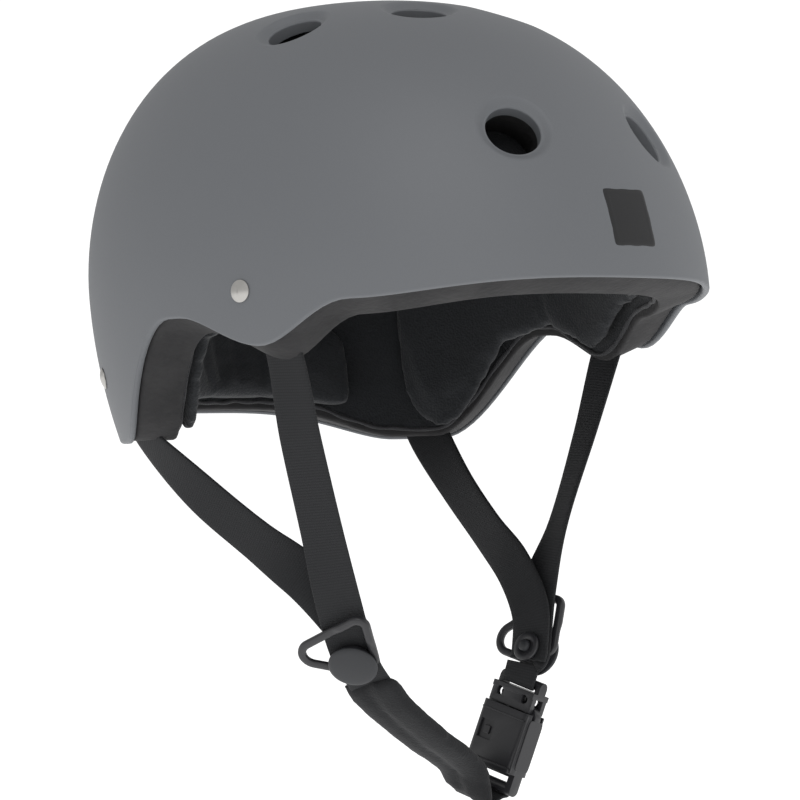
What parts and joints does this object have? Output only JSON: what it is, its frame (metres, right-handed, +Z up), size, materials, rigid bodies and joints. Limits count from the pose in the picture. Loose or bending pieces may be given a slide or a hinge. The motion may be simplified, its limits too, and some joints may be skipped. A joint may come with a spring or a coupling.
{
  "type": "water helmet",
  "caption": "Water helmet with a vented matte shell, foam liner, comfort pads and a webbing harness with strap guides, a padded chin strap and a side-release buckle.",
  "frame": {"origin": "centre of the head opening at the height of the front rim", "axes": "+Z up through the crown, -Y to the front of the helmet, +X to the wearer's left"},
  "size_m": [0.2274, 0.2801, 0.3342],
  "materials": {
    "shell": "matte",
    "foam": "matte",
    "pad_cloth": "matte",
    "hook_tape": "matte",
    "rivet_metal": "satin",
    "webbing": "matte",
    "guide_plastic": "satin",
    "cap_plastic": "matte",
    "buckle_plastic": "satin"
  },
  "bodies": {
    "helmet": {"outer_shell": "shell", "foam_liner": "foam", "brow_pad": "pad_cloth", "rear_pad": "pad_cloth", "side_pad_left": "pad_cloth", "side_pad_right": "pad_cloth", "crown_pad": "pad_cloth", "hook_patches": "hook_tape", "shell_rivets": "rivet_metal", "rivet_washers": "rivet_metal", "front_strap_left": "webbing", "front_strap_right": "webbing", "rear_strap_left": "webbing", "rear_strap_right": "webbing", "strap_guide_left": "guide_plastic", "strap_guide_right": "guide_plastic", "cap_backs": "guide_plastic", "buckle_strap": "webbing", "buckle_plug": "buckle_plastic"},
    "right_cap": {"guide_cap_right": "cap_plastic"},
    "left_cap": {"guide_cap_left": "cap_plastic"},
    "front_arm": {"release_arm_front": "buckle_plastic"},
    "rear_arm": {"release_arm_rear": "buckle_plastic"},
    "chin_strap": {"buckle_socket": "buckle_plastic", "chin_strap": "webbing", "chin_pad": "pad_cloth"}
  },
  "joints": [
    {"name": "chin_strap_swing", "type": "hinge", "parent": "helmet", "child": "chin_strap", "pos_m": [-0.03015, -0.0177, -0.16301], "axis": [0, 0.9713, 0.2377], "range_deg": [0, 55]},
    {"name": "front_arm_squeeze", "type": "hinge", "parent": "helmet", "child": "front_arm", "pos_m": [0.04905, -0.02619, -0.17131], "axis": [0.9706, 0.0572, -0.2338], "range_deg": [0, 8], "stiffness_Nm_per_rad": 0.05},
    {"name": "rear_arm_squeeze", "type": "hinge", "parent": "helmet", "child": "rear_arm", "pos_m": [0.04905, -0.01221, -0.16789], "axis": [-0.9706, -0.0572, 0.2338], "range_deg": [0, 8], "stiffness_Nm_per_rad": 0.05},
    {"name": "right_cap_snap", "type": "slide", "parent": "helmet", "child": "right_cap", "axis": [-0.6211, -0.4508, -0.6411], "range_m": [0, 0.003]},
    {"name": "left_cap_snap", "type": "slide", "parent": "helmet", "child": "left_cap", "axis": [0.9312, 0.1001, -0.3505], "range_m": [0, 0.003]}
  ]
}
